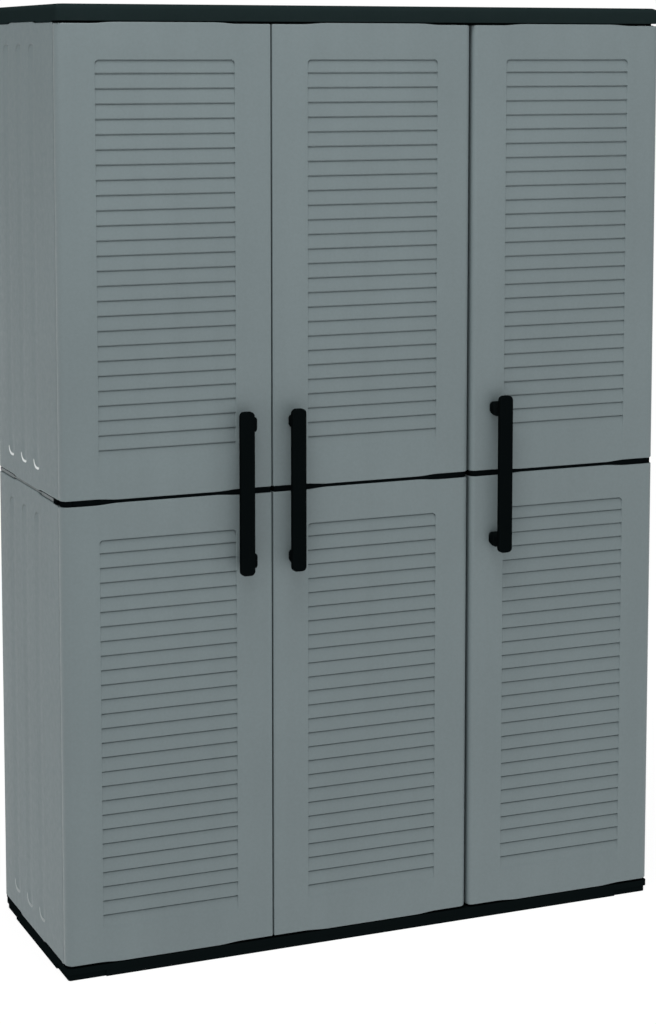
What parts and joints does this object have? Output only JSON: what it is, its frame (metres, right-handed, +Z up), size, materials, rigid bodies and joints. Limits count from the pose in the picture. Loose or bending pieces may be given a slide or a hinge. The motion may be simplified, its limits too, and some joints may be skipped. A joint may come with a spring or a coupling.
{
  "type": "locker cabinet",
  "caption": "Tall plastic utility locker with louvred hinged doors, bar handles, a shelved bay and a narrow broom bay.",
  "frame": {"origin": "on the floor, under the middle of the whole object's box", "axes": "+Z up, the doors and handles face -Y, +X along the width, to the right seen from the front"},
  "size_m": [1.065, 0.395, 1.55],
  "materials": {
    "panel_grey": "satin moulded plastic with a fine grain",
    "shelf_grey": "satin moulded plastic",
    "joint_grey": "satin moulded plastic",
    "cap_black": "satin moulded plastic",
    "base_black": "satin moulded plastic",
    "handle_black": "satin moulded plastic",
    "fitting_black": "satin moulded plastic",
    "screw_steel": "zinc plated"
  },
  "bodies": {
    "cabinet": {"base_tray": "base_black", "top_cap": "cap_black", "side_panel_left_lower": "panel_grey", "side_panel_left_upper": "panel_grey", "side_panel_right_lower": "panel_grey", "side_panel_right_upper": "panel_grey", "side_joiner_left": "joint_grey", "side_joiner_right": "joint_grey", "partition_lower": "panel_grey", "partition_upper": "panel_grey", "partition_joiner": "joint_grey", "back_panel_left_lower": "panel_grey", "back_panel_left_upper": "panel_grey", "back_panel_middle_lower": "panel_grey", "back_panel_middle_upper": "panel_grey", "back_panel_right_lower": "panel_grey", "back_panel_right_upper": "panel_grey", "back_joiner": "joint_grey", "back_strip": "panel_grey", "hinge_arm_left": "fitting_black", "hinge_arm_middle": "fitting_black", "hinge_arm_right": "fitting_black", "shelf_wide_1": "shelf_grey", "shelf_wide_2": "shelf_grey", "shelf_wide_3": "shelf_grey", "shelf_hat": "shelf_grey"},
    "door_left": {"door_left_panel_lower": "panel_grey", "door_left_panel_upper": "panel_grey", "door_left_split_rail": "fitting_black", "door_left_handle_bar": "handle_black", "door_left_handle_post_lower": "handle_black", "door_left_handle_post_upper": "handle_black", "door_left_handle_screw_lower": "screw_steel", "door_left_handle_screw_upper": "screw_steel", "door_left_pivot_bottom": "fitting_black", "door_left_pivot_middle": "fitting_black", "door_left_pivot_top": "fitting_black"},
    "door_middle": {"door_middle_panel_lower": "panel_grey", "door_middle_panel_upper": "panel_grey", "door_middle_split_rail": "fitting_black", "door_middle_handle_bar": "handle_black", "door_middle_handle_post_lower": "handle_black", "door_middle_handle_post_upper": "handle_black", "door_middle_handle_screw_lower": "screw_steel", "door_middle_handle_screw_upper": "screw_steel", "door_middle_pivot_bottom": "fitting_black", "door_middle_pivot_middle": "fitting_black", "door_middle_pivot_top": "fitting_black"},
    "door_right": {"door_right_panel_lower": "panel_grey", "door_right_panel_upper": "panel_grey", "door_right_split_rail": "fitting_black", "door_right_handle_bar": "handle_black", "door_right_handle_post_lower": "handle_black", "door_right_handle_post_upper": "handle_black", "door_right_handle_screw_lower": "screw_steel", "door_right_handle_screw_upper": "screw_steel", "door_right_pivot_bottom": "fitting_black", "door_right_pivot_middle": "fitting_black", "door_right_pivot_top": "fitting_black"}
  },
  "joints": [
    {"name": "door_left_hinge", "type": "hinge", "parent": "cabinet", "child": "door_left", "pos_m": [-0.5185, -0.154, 0.77225], "axis": [0, 0, -1], "range_deg": [0, 110]},
    {"name": "door_middle_hinge", "type": "hinge", "parent": "cabinet", "child": "door_middle", "pos_m": [0.16177, -0.154, 0.77225], "axis": [0, 0, 1], "range_deg": [0, 105]},
    {"name": "door_right_hinge", "type": "hinge", "parent": "cabinet", "child": "door_right", "pos_m": [0.5185, -0.154, 0.77225], "axis": [0, 0, 1], "range_deg": [0, 110]}
  ]
}
